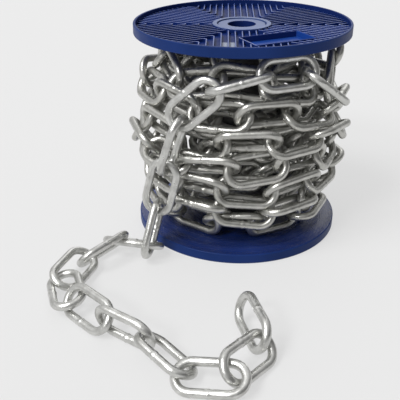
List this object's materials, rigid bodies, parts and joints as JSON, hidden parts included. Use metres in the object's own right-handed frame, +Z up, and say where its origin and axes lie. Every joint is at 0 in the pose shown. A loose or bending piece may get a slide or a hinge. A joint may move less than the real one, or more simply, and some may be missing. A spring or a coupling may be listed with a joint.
{
  "type": "reel of welded steel chain",
  "caption": "Plastic reel with ribbed flanges and a central bore, wound with welded link steel chain whose free end drops over the winding and lies on the floor.",
  "frame": {"origin": "on the floor, under the middle of the whole object's bounding box; the reel's axis stands at x 28.9 mm, y 81.4 mm", "axes": "+Z up along the reel's axis; -Y is the side on which the free end lies; +Y is the longest extent"},
  "size_m": [0.2485, 0.3428, 0.1805],
  "materials": {
    "lower_flange": "satin",
    "upper_flange": "satin",
    "core_tube": "satin",
    "wound_core": "satin",
    "free_link_01": "bright zinc",
    "free_link_02": "bright zinc",
    "free_link_03": "bright zinc",
    "free_link_04": "bright zinc",
    "free_link_05": "bright zinc",
    "free_link_06": "bright zinc",
    "free_link_07": "bright zinc",
    "free_link_08": "bright zinc",
    "free_link_09": "bright zinc",
    "free_link_10": "bright zinc",
    "free_link_11": "bright zinc",
    "free_link_12": "bright zinc",
    "free_link_13": "bright zinc",
    "free_link_14": "bright zinc",
    "free_link_15": "bright zinc",
    "free_link_16": "bright zinc",
    "free_link_17": "bright zinc",
    "wound_run_01": "bright zinc",
    "wound_run_02": "bright zinc",
    "wound_run_03": "bright zinc",
    "wound_run_04": "bright zinc",
    "wound_run_05": "bright zinc",
    "wound_run_06": "bright zinc",
    "wound_run_07": "bright zinc",
    "wound_run_08": "bright zinc",
    "wound_run_09": "bright zinc",
    "wound_run_10": "bright zinc",
    "wound_run_11": "bright zinc",
    "wound_run_12": "bright zinc",
    "wound_run_13": "bright zinc",
    "wound_run_14": "bright zinc",
    "wound_run_15": "bright zinc",
    "wound_run_16": "bright zinc",
    "wound_run_17": "bright zinc",
    "wound_run_18": "bright zinc",
    "wound_run_19": "bright zinc",
    "wound_run_20": "bright zinc",
    "wound_run_21": "bright zinc",
    "wound_run_22": "bright zinc",
    "inner_run_01": "bright zinc",
    "inner_run_02": "bright zinc",
    "inner_run_03": "bright zinc",
    "inner_run_04": "bright zinc",
    "inner_run_05": "bright zinc",
    "inner_run_06": "bright zinc",
    "inner_run_07": "bright zinc",
    "inner_run_08": "bright zinc",
    "inner_run_09": "bright zinc",
    "inner_run_10": "bright zinc",
    "inner_run_11": "bright zinc"
  },
  "bodies": {
    "root": {"lower_flange": "lower_flange", "upper_flange": "upper_flange", "core_tube": "core_tube", "wound_core": "wound_core", "free_link_01": "free_link_01", "free_link_02": "free_link_02", "free_link_03": "free_link_03", "free_link_04": "free_link_04", "free_link_05": "free_link_05", "free_link_06": "free_link_06", "free_link_07": "free_link_07", "free_link_08": "free_link_08", "free_link_09": "free_link_09", "free_link_10": "free_link_10", "free_link_11": "free_link_11", "free_link_12": "free_link_12", "free_link_13": "free_link_13", "free_link_14": "free_link_14", "free_link_15": "free_link_15", "free_link_16": "free_link_16", "free_link_17": "free_link_17", "wound_run_01": "wound_run_01", "wound_run_02": "wound_run_02", "wound_run_03": "wound_run_03", "wound_run_04": "wound_run_04", "wound_run_05": "wound_run_05", "wound_run_06": "wound_run_06", "wound_run_07": "wound_run_07", "wound_run_08": "wound_run_08", "wound_run_09": "wound_run_09", "wound_run_10": "wound_run_10", "wound_run_11": "wound_run_11", "wound_run_12": "wound_run_12", "wound_run_13": "wound_run_13", "wound_run_14": "wound_run_14", "wound_run_15": "wound_run_15", "wound_run_16": "wound_run_16", "wound_run_17": "wound_run_17", "wound_run_18": "wound_run_18", "wound_run_19": "wound_run_19", "wound_run_20": "wound_run_20", "wound_run_21": "wound_run_21", "wound_run_22": "wound_run_22", "inner_run_01": "inner_run_01", "inner_run_02": "inner_run_02", "inner_run_03": "inner_run_03", "inner_run_04": "inner_run_04", "inner_run_05": "inner_run_05", "inner_run_06": "inner_run_06", "inner_run_07": "inner_run_07", "inner_run_08": "inner_run_08", "inner_run_09": "inner_run_09", "inner_run_10": "inner_run_10", "inner_run_11": "inner_run_11"}
  },
  "joints": []
}
